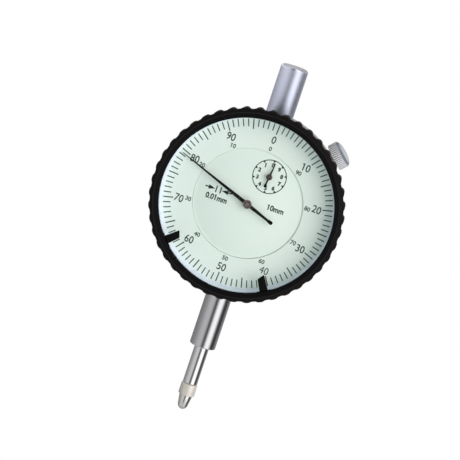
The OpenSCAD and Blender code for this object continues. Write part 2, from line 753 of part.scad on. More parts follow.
// Bridge plate behind the gears
module bridge_plate()
  color("#c4a052") slab(bridge_back, bridge_front) difference() {
    circle(bridge_d / 2);
    for (at = [[0, 0], counter_at]) translate(at) circle(jewel_d / 2 + press_fit);
    translate(drive_at) circle(arbor_r + hub_wall);
    for (at = concat(pillar_places, rail_places)) translate(at) circle(small_screw_d / 2 + press_fit);
    for (at = post_places) translate(at) circle(pillar_pin_r + press_fit);
    translate(spring_at) circle(spring_post_r + press_fit);
    translate(hair_stud_at) circle(stud_r + press_fit);
  }

// Four pillars between web and bridge plate
module bridge_pillars() color("#c2c5c8") for (at = pillar_places) pillar(at, bridge_front, web_back);

// Four screws of the bridge plate
module bridge_screws()
  color("#8f9296") for (at = pillar_places)
    back_screw(at, small_screw_d, small_head_r, small_head_t, bridge_back, bridge_t + small_screw_len);

// Six jewels for the three arbors
module jewel_bearings()
  color("#b03a55") {
    hole = pivot_r + pivot_fit;
    for (at = [[0, 0], drive_at, counter_at]) washer(jewel_d / 2, hole, web_back, web_front, at);
    for (at = [[0, 0], counter_at]) washer(jewel_d / 2, hole, bridge_back, bridge_front, at);
    washer(jewel_d / 2, hole, rear_bridge_back, rear_bridge_front, drive_at);
  }

// Fixed inner dial
module inner_dial()
  color("#dbe9e0") slab(seat_front, inner_front) difference() {
    circle(inner_dial_d / 2);
    for (at = [[0, 0], counter_at]) translate(at) circle(arbor_r);
  }

// Dial ring with the main scale, which turns with the bezel
module dial_ring()
  color("#d6e7dd") washer(bore_r - press_fit, inner_dial_d / 2 + dial_play, ring_back, ring_front);

// Spacer that keeps the crystal off the dial ring
module crystal_spacer()
  color("#dfe8f2") turned() polygon([
    [lip_r - spacer_lean, ring_front], [bore_r - press_fit, ring_front],
    [bore_r - press_fit, crystal_back], [lip_r, crystal_back]
  ]);

// Split ring that holds the dial ring in the bezel
module dial_retainer()
  color("#a5a8ac") slab(ring_back - retainer_t, ring_back) difference() {
    circle(bore_r + retainer_out - run_gap);
    circle(bore_r - retainer_in);
    translate([0, -bore_r]) square([3, 3 * retainer_in], center = true);
  }

// Clear crystal
module crystal() color("#dfeef2", 0.3) rod(bore_r - press_fit, crystal_back, crystal_front);

// Main pointer with a bulb at the end of its tail
module pointer() {
  bulb_r = 0.56 * pointer_w;
  tip_w = 0.24;
  tail_w = 0.7 * pointer_w;
  color("#151515") difference() {
    union() {
      slab(pointer_back, pointer_front) rotate(-pointer_angle) polygon([
        [-pointer_w / 2, 0], [-tip_w / 2, pointer_len - tip_w], [0, pointer_len],
        [tip_w / 2, pointer_len - tip_w], [pointer_w / 2, 0],
        [tail_w / 2, bulb_r - pointer_tail], [-tail_w / 2, bulb_r - pointer_tail]
      ]);
      slab(pointer_back, pointer_front) rotate(-pointer_angle)
        translate([0, bulb_r - pointer_tail]) circle(bulb_r);
      rod(0.4 * hub_d, pointer_back, pointer_front);
    }
    rod(2 * pivot_r + press_fit, pointer_back - cut, pointer_front + cut);
  }
}

// Hub that presses the pointer onto the centre arbor
module pointer_hub() {
  hole = pivot_r + press_fit;
  color("#b7afac") turned() polygon([
    [hole, pointer_back - hub_sink], [2 * pivot_r, pointer_back - hub_sink], [2 * pivot_r, pointer_front],
    [hub_d / 2, pointer_front], [hub_d / 2, hub_top - small_edge], [hub_d / 2 - small_edge, hub_top],
    [hole, hub_top]
  ]);
}

// Counter hand with its small hub
module counter_hand() {
  width = 0.65;
  tip_w = 0.24;
  bulb_r = 0.4;
  color("#151515") {
    slab(counter_back, counter_back + hand_t) translate(counter_at) rotate(-counter_angle) difference() {
      union() {
        polygon([[-width / 2, 0], [-tip_w / 2, counter_len], [tip_w / 2, counter_len], [width / 2, 0]]);
        translate([-width / 4, bulb_r - counter_tail]) square([width / 2, counter_tail - bulb_r]);
        translate([0, bulb_r - counter_tail]) circle(bulb_r);
        circle(pivot_r + small_edge);
      }
      circle(pivot_r + press_fit);
    }
    washer(pivot_r + small_edge, pivot_r + press_fit, counter_back, counter_top, counter_at);
  }
}

// Grip outline of the bezel: a round with bumps, one of them a little to the right of the top
module bezel_outline() {
  bump_r = (bump_w ^ 2 / 4 + bump_h ^ 2) / 2 / bump_h;
  first = 6;
  circle(bezel_r);
  for (i = [0:bump_count - 1]) rotate(-first - 360 / bump_count * i)
    translate([0, bezel_r + bump_h - bump_r]) circle(bump_r);
}

// Bezel with the seats of crystal, dial ring and limit markers
module bezel() {
  outer = bezel_r + bump_h;
  corner = bezel_front - bezel_round;
  color("#1c1a1a") difference() {
    intersection() {
      union() {
        slab(knurl_back, bezel_front) bezel_outline();
        rod(skirt_r, bezel_back, bezel_front);
      }
      turned() polygon(concat(
        [[0, bezel_back], [outer + cut, bezel_back], [outer + cut, corner]],
        [for (a = [0:15:90]) [outer - bezel_round * (1 - cos(a)), corner + bezel_round * sin(a)]],
        [[0, bezel_front]]
      ));
    }
    turned() polygon([
      [0, bezel_back - cut], [bore_r, bezel_back - cut], [bore_r, wire_f - wire_room],
      [bore_r + wire_groove, wire_f - wire_room], [bore_r + wire_groove, wire_f + wire_room],
      [bore_r, wire_f + wire_room], [bore_r, ring_back - retainer_t - press_fit],
      [bore_r + retainer_out, ring_back - retainer_t - press_fit], [bore_r + retainer_out, ring_back],
      [bore_r, ring_back], [bore_r, crystal_front], [lip_r, crystal_front], [lip_r, groove_back],
      [groove_r, groove_back], [groove_r, groove_front], [lip_r, groove_front],
      [lip_r, bezel_front - small_edge], [lip_r + small_edge, bezel_front],
      [lip_r + small_edge, bezel_front + cut], [0, bezel_front + cut]
    ]);
  }
}

// Split wire that keeps the bezel on the case and brakes its turning
module bezel_spring()
  color("#9fa3a8") turned(345) translate([(case_r + bore_r) / 2, wire_f]) circle(bezel_wire_d / 2);

// Limit marker at an angle, with its tip on one edge, and a foot in the bezel's groove
module limit_marker(angle, edge) {
  tip = lip_r - marker_reach;
  foot_w = 2 * marker_w;
  back = groove_back + run_gap / 2;
  color("#111111") slab(back, back + marker_t) rotate(-angle) {
    polygon([
      [-marker_root_w / 2, lip_r], [-marker_w / 2, tip + (edge < 0 ? 0 : marker_slant)],
      [marker_w / 2, tip + (edge < 0 ? marker_slant : 0)], [marker_root_w / 2, lip_r]
    ]);
    intersection() {
      difference() {
        circle(groove_r - run_gap);
        circle(lip_r - small_edge);
      }
      translate([-foot_w / 2, 0]) square([foot_w, 2 * groove_r]);
    }
  }
}
module limit_marker_low() limit_marker(low_angle, -1);
module limit_marker_high() limit_marker(high_angle, 1);

// Clamp screw with a knurled head that presses on the bezel's skirt
module clamp_screw() {
  ridges = 48;
  ridge_h = 0.2;
  edge = 0.25;
  head_r = clamp_head_d / 2;
  face = skirt_r + clamp_gap;
  flat = face + clamp_head_t;
  color("#c9ccd0") on_clamp() {
    translate([0, 0, boss_end + small_edge]) cylinder(d = clamp_d, h = face - boss_end);
    intersection() {
      translate([0, 0, face]) linear_extrude(clamp_head_t + clamp_dome) polygon([
        for (i = [0:2 * ridges - 1])
          let (a = 180 / ridges * i)
          (head_r - ridge_h * (i % 2)) * [cos(a), sin(a)]
      ]);
      rotate_extrude() polygon([
        [0, face], [head_r - edge, face], [head_r + edge, face + 2 * edge],
        [head_r + edge, flat - 2 * edge], [head_r - edge, flat],
        [0.62 * head_r, flat + 0.75 * clamp_dome], [0.3 * head_r, flat + clamp_dome], [0, flat + clamp_dome]
      ]);
    }
  }
}

case();
rear_cover();
rear_cover_screws();
stem();
upper_bushing();
dust_cap();
spindle();
contact_point();
contact_ball();
guide_pin();
guide_rail();
guide_rail_screws();
return_spring();
spring_post();
rack_pinion();
drive_gear();
pinion_bridge();
pinion_bridge_posts();
pinion_bridge_screws();
centre_pinion();
counter_arbor();
takeup_gear();
hairspring();
hairspring_collet();
hairspring_stud();
bridge_plate();
bridge_pillars();
bridge_screws();
jewel_bearings();
inner_dial();
dial_ring();
crystal_spacer();
dial_retainer();
crystal();
pointer();
pointer_hub();
counter_hand();
bezel();
bezel_spring();
limit_marker_low();
limit_marker_high();
clamp_screw();
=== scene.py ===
import math

import bmesh
import bpy
from mathutils import Matrix, Vector


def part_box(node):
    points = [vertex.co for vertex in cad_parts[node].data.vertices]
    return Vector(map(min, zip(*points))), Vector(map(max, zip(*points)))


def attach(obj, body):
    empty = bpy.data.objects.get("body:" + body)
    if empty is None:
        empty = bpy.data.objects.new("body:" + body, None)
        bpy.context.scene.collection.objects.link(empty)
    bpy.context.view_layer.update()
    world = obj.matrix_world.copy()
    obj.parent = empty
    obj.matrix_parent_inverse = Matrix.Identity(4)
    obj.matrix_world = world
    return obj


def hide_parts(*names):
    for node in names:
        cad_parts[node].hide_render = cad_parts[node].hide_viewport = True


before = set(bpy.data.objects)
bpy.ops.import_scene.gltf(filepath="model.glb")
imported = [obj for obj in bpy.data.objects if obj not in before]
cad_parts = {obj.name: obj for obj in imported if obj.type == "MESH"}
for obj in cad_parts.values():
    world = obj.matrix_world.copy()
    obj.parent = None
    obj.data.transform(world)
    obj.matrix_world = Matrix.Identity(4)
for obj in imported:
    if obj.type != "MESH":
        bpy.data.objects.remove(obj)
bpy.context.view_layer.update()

print("frame loaded:", len(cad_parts), "nodes")

# everything below is in millimetres until a piece is placed
mm = 0.001
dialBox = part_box("inner_dial")
dialZ = (dialBox[0].z + dialBox[1].z) / 2

onPlunger = Matrix.Translation((0, 0, dialZ)) @ Matrix.Scale(mm, 4)
onDial = onPlunger @ Matrix.Rotation(math.pi / 2, 4, "X")   # x right, y up, z forward


def forward(name):
    # a node's back and front, in front of the plunger's axis
    low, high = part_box(name)
    return -high.y / mm, -low.y / mm


def turnOnDial(degrees, centre=(0, 0), height=0.0):
    # clockwise turn around a point of the dial, at a height in front of the plunger's axis
    return Matrix.Translation((centre[0], centre[1], height)) @ Matrix.Rotation(-math.radians(degrees), 4, "Z")


def toward(settings):
    # direction from the object to the camera or a lamp
    azimuth, elevation = math.radians(settings["azimuth"]), math.radians(settings["elevation"])
    return Vector((math.sin(azimuth) * math.cos(elevation), -math.cos(azimuth) * math.cos(elevation),
                   math.sin(elevation)))


view = {
    "azimuth": 3.2, "elevation": 9.6, "roll": 18.44,
    "distance": 700, "pixelsPerMm": 3.397, "frame": 460,
    "dialAt": (246.65, 205.0), "dialForward": 14.2,     # the dial's middle, in pixels and in depth
    "sensor": 36, "clip": (0.01, 20),
}


def makeCamera():
    turn = (-toward(view)).to_track_quat("-Z", "Y").to_matrix()
    turn = turn @ Matrix.Rotation(math.radians(view["roll"]), 3, "Z")
    half = view["frame"] / 2
    right = (view["dialAt"][0] - half) / view["pixelsPerMm"]
    up = (half - view["dialAt"][1]) / view["pixelsPerMm"]
    dial = Vector((0, -view["dialForward"] * mm, dialZ))
    stand = dial - turn @ Vector((right, up, -view["distance"])) * mm
    data = bpy.data.cameras.new("camera")
    data.sensor_width = view["sensor"]
    data.lens = view["pixelsPerMm"] * view["distance"] * view["sensor"] / view["frame"]
    data.clip_start, data.clip_end = view["clip"]
    camera = bpy.data.objects.new("camera", data)
    camera.matrix_world = Matrix.Translation(stand) @ turn.to_4x4()
    bpy.context.scene.collection.objects.link(camera)
    bpy.context.scene.camera = camera


makeCamera()
bpy.context.scene.view_settings.view_transform = "Standard"
print("camera set")


def emptyTree(owner):
    owner.use_nodes = True
    owner.node_tree.nodes.clear()
    return owner.node_tree


def node(tree, kind, place=(0, 0), **inputs):
    made = tree.nodes.new(kind)
    made.location = place
    for name, value in inputs.items():
        made.inputs[name].default_value = value
    return made


def mathNode(tree, operation, place, second=None):
    made = node(tree, "ShaderNodeMath", place)
    made.operation = operation
    if second is not None:
        made.inputs[1].default_value = second
    return made


def rangeNode(tree, place, start, end, low=0.0, high=1.0):
    # carries a value from start and end to low and high
    made = node(tree, "ShaderNodeMapRange", place)
    for name, value in (("From Min", start), ("From Max", end), ("To Min", low), ("To Max", high)):
        made.inputs[name].default_value = value
    return made


mixFirst, mixSecond, mixResult = 6, 7, 2    # a Mix node's colour sockets

studio = {
    # light on matt surfaces, stronger from the side that ambientFrom points to
    "ambient": 0.61, "ambientColour": (0.88, 1.0, 0.97, 1), "ambientFrom": (0.89, 0, -0.45), "ambientLean": 0.45,
    # what metal mirrors, by the angle from the front: degrees to the right, brightness
    "lowBands": [
        (-180, 0.24), (-140, 0.26), (-100, 0.35), (-72, 0.48), (-48, 0.68), (-22, 0.68), (-12, 0.5), (-5, 0.25),
        (-1, 0.13), (7, 0.12), (15, 0.35), (24, 0.95), (33, 1.45), (53, 1.55), (63, 1.2), (73, 0.55), (83, 0.12),
        (90, 0.06), (106, 0.06), (120, 0.18), (140, 0.33), (180, 0.36)],
    "highBands": [
        (-180, 0.55), (-150, 1.7), (-60, 1.75), (-30, 0.8), (-12, 0.4), (12, 0.35), (30, 0.8), (50, 1.2),
        (75, 0.9), (110, 0.6), (150, 0.5), (180, 0.55)],
    "ceilingBands": [
        (-180, 0.48), (-120, 0.6), (-60, 0.78), (-34, 0.7), (-24, 0.14), (6, 0.11), (16, 0.5), (28, 1.45),
        (62, 1.45), (78, 0.5), (110, 0.4), (180, 0.48)],
    "highFrom": (0.05, 0.13), "ceilingFrom": (0.15, 0.28),      # height at which the next bands take over
    "key": {"azimuth": 45, "elevation": 12, "distance": 0.52, "width": 0.52, "height": 0.56, "power": 2.2,
            "colour": (1.0, 0.97, 0.96)},
    "floorZ": -0.42, "floorHalf": 0.45, "floorGlow": 0.74, "floorMirror": 0.35, "floorColour": (0.42, 0.42, 0.42, 1),
}


def bandRamp(tree, bands, place):
    made = node(tree, "ShaderNodeValToRGB", place)
    stops = made.color_ramp.elements
    for index, (degrees, bright) in enumerate(bands):
        at = (degrees + 180) / 360
        stop = stops[index] if index < 2 else stops.new(at)     # a new ramp has two stops
        stop.position = at
        stop.color = (bright, bright, bright, 1)
    return made


def makeWorld():
    # white for the camera, leaned light on matt surfaces, and bands around the object for mirroring ones
    world = bpy.data.worlds.new("studio")
    bpy.context.scene.world = world
    tree = emptyTree(world)
    link = tree.links.new
    direction = node(tree, "ShaderNodeTexCoord", (-1200, 0)).outputs["Generated"]
    parts = node(tree, "ShaderNodeSeparateXYZ", (-1000, 0))
    link(direction, parts.inputs[0])

    front = mathNode(tree, "MULTIPLY", (-820, -80), -1)
    around = mathNode(tree, "ARCTAN2", (-640, 0))
    share = rangeNode(tree, (-460, 0), -math.pi, math.pi)
    link(parts.outputs["Y"], front.inputs[0])
    link(parts.outputs["X"], around.inputs[0])
    link(front.outputs[0], around.inputs[1])
    link(around.outputs[0], share.inputs["Value"])

    low = bandRamp(tree, studio["lowBands"], (-260, 0))
    link(share.outputs[0], low.inputs[0])
    colour = low.outputs[0]
    for name, y in (("high", -280), ("ceiling", -560)):
        upper = bandRamp(tree, studio[name + "Bands"], (-260, y))
        rise = rangeNode(tree, (-460, y), *studio[name + "From"])
        blend = node(tree, "ShaderNodeMix", (0, y))
        blend.data_type = "RGBA"
        link(share.outputs[0], upper.inputs[0])
        link(parts.outputs["Z"], rise.inputs["Value"])
        link(rise.outputs[0], blend.inputs["Factor"])
        link(colour, blend.inputs[mixFirst])
        link(upper.outputs[0], blend.inputs[mixSecond])
        colour = blend.outputs[mixResult]
    bands = node(tree, "ShaderNodeBackground", (200, 0))
    link(colour, bands.inputs["Color"])

    side = node(tree, "ShaderNodeVectorMath", (-200, -1000))
    side.operation = "DOT_PRODUCT"
    side.inputs[1].default_value = studio["ambientFrom"]
    lean = rangeNode(tree, (0, -1000), -1, 1, studio["ambient"] * (1 - studio["ambientLean"]),
                     studio["ambient"] * (1 + studio["ambientLean"]))
    soft = node(tree, "ShaderNodeBackground", (200, -160), Color=studio["ambientColour"])
    link(direction, side.inputs[0])
    link(side.outputs["Value"], lean.inputs["Value"])
    link(lean.outputs[0], soft.inputs["Strength"])

    white = node(tree, "ShaderNodeBackground", (200, 160), Color=(1, 1, 1, 1), Strength=1.0)
    light = node(tree, "ShaderNodeLightPath", (-460, 400))
    seen = mathNode(tree, "MAXIMUM", (-260, 300))
    mirrored = node(tree, "ShaderNodeMixShader", (400, 0))
    shown = node(tree, "ShaderNodeMixShader", (600, 60))
    out = node(tree, "ShaderNodeOutputWorld", (800, 60))
    link(light.outputs["Is Camera Ray"], seen.inputs[0])
    link(light.outputs["Is Transmission Ray"], seen.inputs[1])
    link(light.outputs["Is Glossy Ray"], mirrored.inputs[0])
    link(soft.outputs[0], mirrored.inputs[1])
    link(bands.outputs[0], mirrored.inputs[2])
    link(seen.outputs[0], shown.inputs[0])
    link(mirrored.outputs[0], shown.inputs[1])
    link(white.outputs[0], shown.inputs[2])
    link(shown.outputs[0], out.inputs[0])


def makeLamp(name):
    lamp = studio[name]
    data = bpy.data.lights.new(name, "AREA")
    data.shape = "RECTANGLE"
    data.size, data.size_y = lamp["width"], lamp["height"]
    data.energy, data.color = lamp["power"], lamp["colour"]
    made = bpy.data.objects.new(name, data)
    made.visible_glossy = False     # the bands are what metal shows
    made.matrix_world = (Matrix.Translation(Vector((0, 0, dialZ)) + toward(lamp) * lamp["distance"])
                         @ toward(lamp).to_track_quat("Z", "Y").to_matrix().to_4x4())
    bpy.context.scene.collection.objects.link(made)


def makeFloor():
    bm = bmesh.new()
    bmesh.ops.create_grid(bm, x_segments=1, y_segments=1, size=studio["floorHalf"])
    bmesh.ops.translate(bm, verts=bm.verts, vec=(0, 0, studio["floorZ"]))
    mesh = bpy.data.meshes.new("floor")
    bm.to_mesh(mesh)
    bm.free()
    floor = bpy.data.objects.new("floor", mesh)
    bpy.context.scene.collection.objects.link(floor)
    material = bpy.data.materials.new("paleFloor")
    tree = emptyTree(material)
    light = node(tree, "ShaderNodeLightPath", (-600, 200))
    seen = mathNode(tree, "MAXIMUM", (-400, 240))
    shown = mathNode(tree, "MULTIPLY", (-220, 300), studio["floorGlow"])
    mirrored = mathNode(tree, "MULTIPLY", (-220, 120), studio["floorMirror"])
    level = mathNode(tree, "MAXIMUM", (-40, 240))
    glow = node(tree, "ShaderNodeEmission", (140, 200), Color=(1, 1, 1, 1))
    matt = node(tree, "ShaderNodeBsdfDiffuse", (140, 0), Color=studio["floorColour"])
    both = node(tree, "ShaderNodeAddShader", (340, 100))
    out = node(tree, "ShaderNodeOutputMaterial", (520, 100))
    link = tree.links.new
    link(light.outputs["Is Camera Ray"], seen.inputs[0])
    link(light.outputs["Is Transmission Ray"], seen.inputs[1])
    link(seen.outputs[0], shown.inputs[0])
    link(light.outputs["Is Glossy Ray"], mirrored.inputs[0])
    link(shown.outputs[0], level.inputs[0])
    link(mirrored.outputs[0], level.inputs[1])
    link(level.outputs[0], glow.inputs["Strength"])
    link(glow.outputs[0], both.inputs[0])
    link(matt.outputs[0], both.inputs[1])
    link(both.outputs[0], out.inputs["Surface"])
    mesh.materials.append(material)


makeWorld()
makeLamp("key")
makeFloor()
print("studio set")


grainLook = {"from": 0.25, "to": 0.75, "roughness": 0.6, "relief": 0.0001, "smoothest": 0.02}


def finish(name, colour, metal, rough, stretch, scale, shade, roughSpread, bump, detail=4.0, coat=0.0, specular=0.5):
    # one noise, stretched along the marks of the finish, drives shade, roughness and relief
    material = bpy.data.materials.new(name)
    tree = emptyTree(material)
    coords = node(tree, "ShaderNodeTexCoord", (-1000, 0))
    mapping = node(tree, "ShaderNodeMapping", (-820, 0), Scale=stretch)
    grain = node(tree, "ShaderNodeTexNoise", (-620, 0), Scale=scale, Detail=detail,
                 Roughness=grainLook["roughness"])
    tint = node(tree, "ShaderNodeValToRGB", (-380, 160))
    dark, pale = tint.color_ramp.elements
    dark.position, pale.position = grainLook["from"], grainLook["to"]
    dark.color = [c * (1 - shade) for c in colour] + [1]
    pale.color = [min(1, c * (1 + shade)) for c in colour] + [1]
    gloss = rangeNode(tree, (-380, -80), 0, 1, max(grainLook["smoothest"], rough - roughSpread), rough + roughSpread)
    relief = node(tree, "ShaderNodeBump", (-380, -340), Strength=bump, Distance=grainLook["relief"])
    shader = node(tree, "ShaderNodeBsdfPrincipled", (0, 0), Metallic=metal)
    shader.inputs["Specular IOR Level"].default_value = specular
    shader.inputs["Coat Weight"].default_value = coat
    out = node(tree, "ShaderNodeOutputMaterial", (300, 0))
    link = tree.links.new
    link(coords.outputs["Object"], mapping.inputs[0])
    link(mapping.outputs[0], grain.inputs["Vector"])
    link(grain.outputs["Fac"], tint.inputs[0])
    link(grain.outputs["Fac"], gloss.inputs["Value"])
    link(grain.outputs["Fac"], relief.inputs["Height"])
    link(tint.outputs[0], shader.inputs["Base Color"])
    link(gloss.outputs[0], shader.inputs["Roughness"])
    link(relief.outputs[0], shader.inputs["Normal"])
    link(shader.outputs[0], out.inputs["Surface"])
    return material


def clearFinish(name, settings):
    # clear plate that lets the lamps reach the dial behind it
    material = bpy.data.materials.new(name)
    tree = emptyTree(material)
    light = node(tree, "ShaderNodeLightPath", (-400, 300))
    passing = mathNode(tree, "MAXIMUM", (-200, 300))
    glass = node(tree, "ShaderNodeBsdfPrincipled", (-200, 0), Roughness=settings["rough"], IOR=settings["bend"])
    glass.inputs["Base Color"].default_value = settings["colour"]
    glass.inputs["Transmission Weight"].default_value = 1
    air = node(tree, "ShaderNodeBsdfTransparent", (-200, 160))
    mix = node(tree, "ShaderNodeMixShader", (80, 100))
    out = node(tree, "ShaderNodeOutputMaterial", (280, 100))
    link = tree.links.new
    link(light.outputs["Is Shadow Ray"], passing.inputs[0])
    link(light.outputs["Is Diffuse Ray"], passing.inputs[1])
    link(passing.outputs[0], mix.inputs[0])
    link(glass.outputs[0], mix.inputs[1])
    link(air.outputs[0], mix.inputs[2])
    link(mix.outputs[0], out.inputs["Surface"])
    return material


even = (1, 1, 1)
aroundPlunger = (0.02, 0.02, 1)     # turning marks around the plunger's axis
aroundDial = (0.02, 1, 0.02)        # turning marks around the dial's axis
alongDepth = (1, 0.05, 1)           # brushed from front to back
upright = (1, 1, 0.04)              # brushed up and down

# name, colour, metal, roughness, stretch of the grain, grains to a metre, then the grain's share in
# shade, roughness and relief, and its detail
finishes = {
    "cap": finish("satinCap", (0.765, 0.795, 0.95), 1, 0.4, aroundPlunger, 9000, 0.04, 0.05, 0.012, 2),
    "capTop": finish("turnedCapTop", (0.78, 0.785, 0.89), 1, 0.27, even, 5000, 0.03, 0.04, 0.004, 2),
    "stem": finish("groundStem", (0.60, 0.60, 0.615), 1, 0.13, aroundPlunger, 14000, 0.05, 0.04, 0.006, 2),
    "spindle": finish("polishedSpindle", (0.76, 0.76, 0.775), 1, 0.1, aroundPlunger, 16000, 0.04, 0.03, 0.003, 2),
    "contact": finish("warmContact", (0.77, 0.70, 0.655), 0.4, 0.46, aroundPlunger, 9000, 0.015, 0.02, 0.002, 2),
    "cone": finish("polishedCone", (0.80, 0.77, 0.75), 1, 0.16, aroundPlunger, 12000, 0.05, 0.03, 0.004, 2),
    "ball": finish("hardBall", (0.56, 0.55, 0.55), 1, 0.1, even, 4000, 0.04, 0.03, 0.003, 2),
    "clampEnd": finish("clampEnd", (0.70, 0.70, 0.76), 0.5, 0.3, even, 3000, 0.06, 0.06, 0.01, 2),
    # painted dark reflection: the knob's outer chamfer, the same metal drawn dark blue-grey for what it mirrors
    "clampEdgeDarkReflection": finish("clampEdgeDarkReflection", (0.27, 0.29, 0.35), 0.6, 0.3, even, 3000, 0.06, 0.06, 0.01, 2),
    "clamp": finish("clampNickel", (0.96, 0.93, 0.97), 0.15, 0.32, even, 3000, 0.06, 0.06, 0.01, 2),
    # painted shade in the knurl's grooves, on the same nickel as the knob
    "clampGrooveShade": finish("clampGrooveShade", (0.42, 0.40, 0.44), 0.3, 0.5, even, 3000, 0.1, 0.06, 0.01, 2),
    "bezelGrip": finish("blackGrip", (0.0058, 0.0038, 0.004), 0, 0.5, even, 5200, 0.25, 0.08, 0.08, specular=0.1),
    # painted reflection: the lip is the grip's black plastic, tinted bluish for what its slope mirrors
    "bezelLipReflection": finish("blackLipPaintedReflection", (0.0034, 0.0032, 0.004), 0, 0.4, even, 5200, 0.2, 0.05, 0.03, specular=0.1),
    # painted highlight: a lighter strip of the same black where the bezel's front ridge catches the light
    "bezelEdgeHighlight": finish("paintedEdgeHighlight", (0.0085, 0.008, 0.0082), 0, 0.4, even, 5200, 0.3, 0.08, 0.05, specular=0.2),
    "dial": finish("dialEnamel", (0.805, 0.868, 0.825), 0, 0.5, even, 2600, 0.012, 0.06, 0.015, specular=0.2),
    "ink": finish("darkInk", (0.04, 0.062, 0.056), 0, 0.55, even, 9000, 0.2, 0.05, 0.02, specular=0.1),
    "paleInk": finish("paleInk", (0.07, 0.094, 0.086), 0, 0.55, even, 9000, 0.15, 0.05, 0.02, specular=0.1),
    "blackInk": finish("blackInk", (0.008, 0.013, 0.011), 0, 0.5, even, 9000, 0.2, 0.05, 0.02, specular=0.08),
    "hand": finish("blackHand", (0.003, 0.0045, 0.004), 0, 0.45, even, 6000, 0.2, 0.06, 0.03, specular=0.06),
    "hub": finish("roseHub", (0.15, 0.125, 0.125), 1, 0.24, aroundDial, 9000, 0.08, 0.06, 0.02),
    "smallHub": finish("darkHub", (0.055, 0.045, 0.045), 1, 0.28, aroundDial, 9000, 0.08, 0.06, 0.02),
    "marker": finish("blackMarker", (0.0035, 0.004, 0.0038), 0, 0.5, even, 5200, 0.2, 0.06, 0.06, specular=0.08),
    "spacer": finish("paleSpacer", (0.80, 0.85, 0.96), 0, 0.45, even, 3000, 0.02, 0.05, 0.02),
    "case": finish("satinCase", (0.62, 0.585, 0.53), 1, 0.33, alongDepth, 6000, 0.06, 0.07, 0.03),
    "cover": finish("satinCover", (0.55, 0.56, 0.57), 1, 0.36, upright, 6000, 0.08, 0.08, 0.04),
    "screw": finish("screwSteel", (0.80, 0.80, 0.82), 1, 0.25, even, 5000, 0.08, 0.08, 0.02),
    # painted shade in the screws' slots, on the same steel as the screws
    "slot": finish("paintedSlotShade", (0.05, 0.05, 0.052), 0.6, 0.5, even, 5000, 0.1, 0.08, 0.02),
    "steel": finish("brightSteel", (0.62, 0.63, 0.64), 1, 0.22, even, 6000, 0.06, 0.06, 0.02),
    "spring": finish("springSteel", (0.46, 0.47, 0.49), 1, 0.3, even, 6000, 0.08, 0.06, 0.02),
    "hair": finish("bluedSteel", (0.16, 0.21, 0.36), 1, 0.28, even, 6000, 0.1, 0.05, 0.02),
    "brass": finish("turnedBrass", (0.72, 0.52, 0.22), 1, 0.28, aroundDial, 6000, 0.08, 0.07, 0.03),
    "jewel": finish("redJewel", (0.42, 0.03, 0.09), 0, 0.12, even, 4000, 0.1, 0.04, 0.01, coat=0.5),
    "crystal": clearFinish("clearCrystal", {"rough": 0.02, "bend": 1.16, "colour": (0.985, 1.0, 0.99, 1)}),
}

# finish of every node of the frame, by the slot that its material is named after
slotFinish = {
    "case_metal": "case", "cover_metal": "cover", "steel": "steel", "cap_metal": "cap", "contact_steel": "contact",
    "ball": "ball", "screw_steel": "screw", "spring_steel": "spring", "hair_steel": "hair", "brass": "brass",
    "jewel": "jewel", "dial_white": "dial", "spacer": "spacer", "crystal": "crystal", "hand_black": "hand",
    "hub_metal": "hub", "bezel_black": "bezelGrip", "marker_black": "marker", "clamp_metal": "clamp",
}
slotOf = {}
for name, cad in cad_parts.items():
    slotOf[name] = cad.data.materials[0].name.split(".")[0]
    cad.data.materials[0] = finishes[slotFinish[slotOf[name]]]
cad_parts["spindle"].data.materials[0] = finishes["spindle"]
print("finishes made:", len(finishes))


joinWithin = 1e-4       # points nearer than this are one
ringWithin = 2e-3       # how near a point lies to the ring that it belongs to
foldFrom = 1.0          # radians between two faces from which their edge is softened
sharpFrom = 34          # degrees between two faces from which their edge is drawn sharp


def fromAxis(spot):
    return math.hypot(spot.x, spot.y)


def onRing(spot, point):
    return abs(fromAxis(spot) - point[0]) < ringWithin and abs(spot.z - point[1]) < ringWithin


def roundOff(bm, geom, size, segments, affect="EDGES"):
    bmesh.ops.bevel(bm, geom=geom, offset=size, offset_type="OFFSET", affect=affect, segments=segments,
                    profile=0.5, material=-1, clamp_overlap=True)


def closeSeam(bm):
    # after a spin: one point where two met, and all faces outwards
    bmesh.ops.remove_doubles(bm, verts=bm.verts, dist=joinWithin)
    bmesh.ops.recalc_face_normals(bm, faces=bm.faces)


def lathe(profile, steps=96, segments=4):
    # turns an outline of radius and height around z; a third number rounds that corner
    bm = bmesh.new()
    verts = [bm.verts.new((point[0], 0, point[1])) for point in profile]
    pairs = list(zip(verts, verts[1:]))
    if profile[0][0] > 0 or profile[-1][0] > 0:
        pairs.append((verts[-1], verts[0]))
    edges = [bm.edges.new(pair) for pair in pairs]
    bmesh.ops.spin(bm, geom=verts + edges, cent=(0, 0, 0), axis=(0, 0, 1), angle=2 * math.pi, steps=steps,
                   use_merge=True)
    closeSeam(bm)
    for point in profile:
        if len(point) > 2:
            corner = [e for e in bm.edges if all(onRing(v.co, point) for v in e.verts)]
            roundOff(bm, corner, point[2], segments)
    return bm


def plate(outline, thick, rounds=(), edge=0.0):
    # flat piece from an outline, with some of its corners rounded and its front edges softened
    bm = bmesh.new()
    face = bm.faces.new([bm.verts.new((x, y, 0)) for x, y in outline])
    corners = list(face.verts)
    for index, size in rounds:
        roundOff(bm, [corners[index]], size, 6, "VERTICES")
    grown = bmesh.ops.extrude_face_region(bm, geom=list(bm.faces), use_keep_orig=True)["geom"]
    bmesh.ops.translate(bm, verts=[g for g in grown if isinstance(g, bmesh.types.BMVert)], vec=(0, 0, thick))
    bmesh.ops.recalc_face_normals(bm, faces=bm.faces)
    if edge:
        roundOff(bm, [e for e in bm.edges if all(v.co.z > thick - joinWithin for v in e.verts)], edge, 2)
    return bm


def merge(target, source, place):
    # adds one bmesh to another
    bmesh.ops.transform(source, matrix=place, verts=source.verts)
    mesh = bpy.data.meshes.new("part")
    source.to_mesh(mesh)
    source.free()
    target.from_mesh(mesh)
    bpy.data.meshes.remove(mesh)


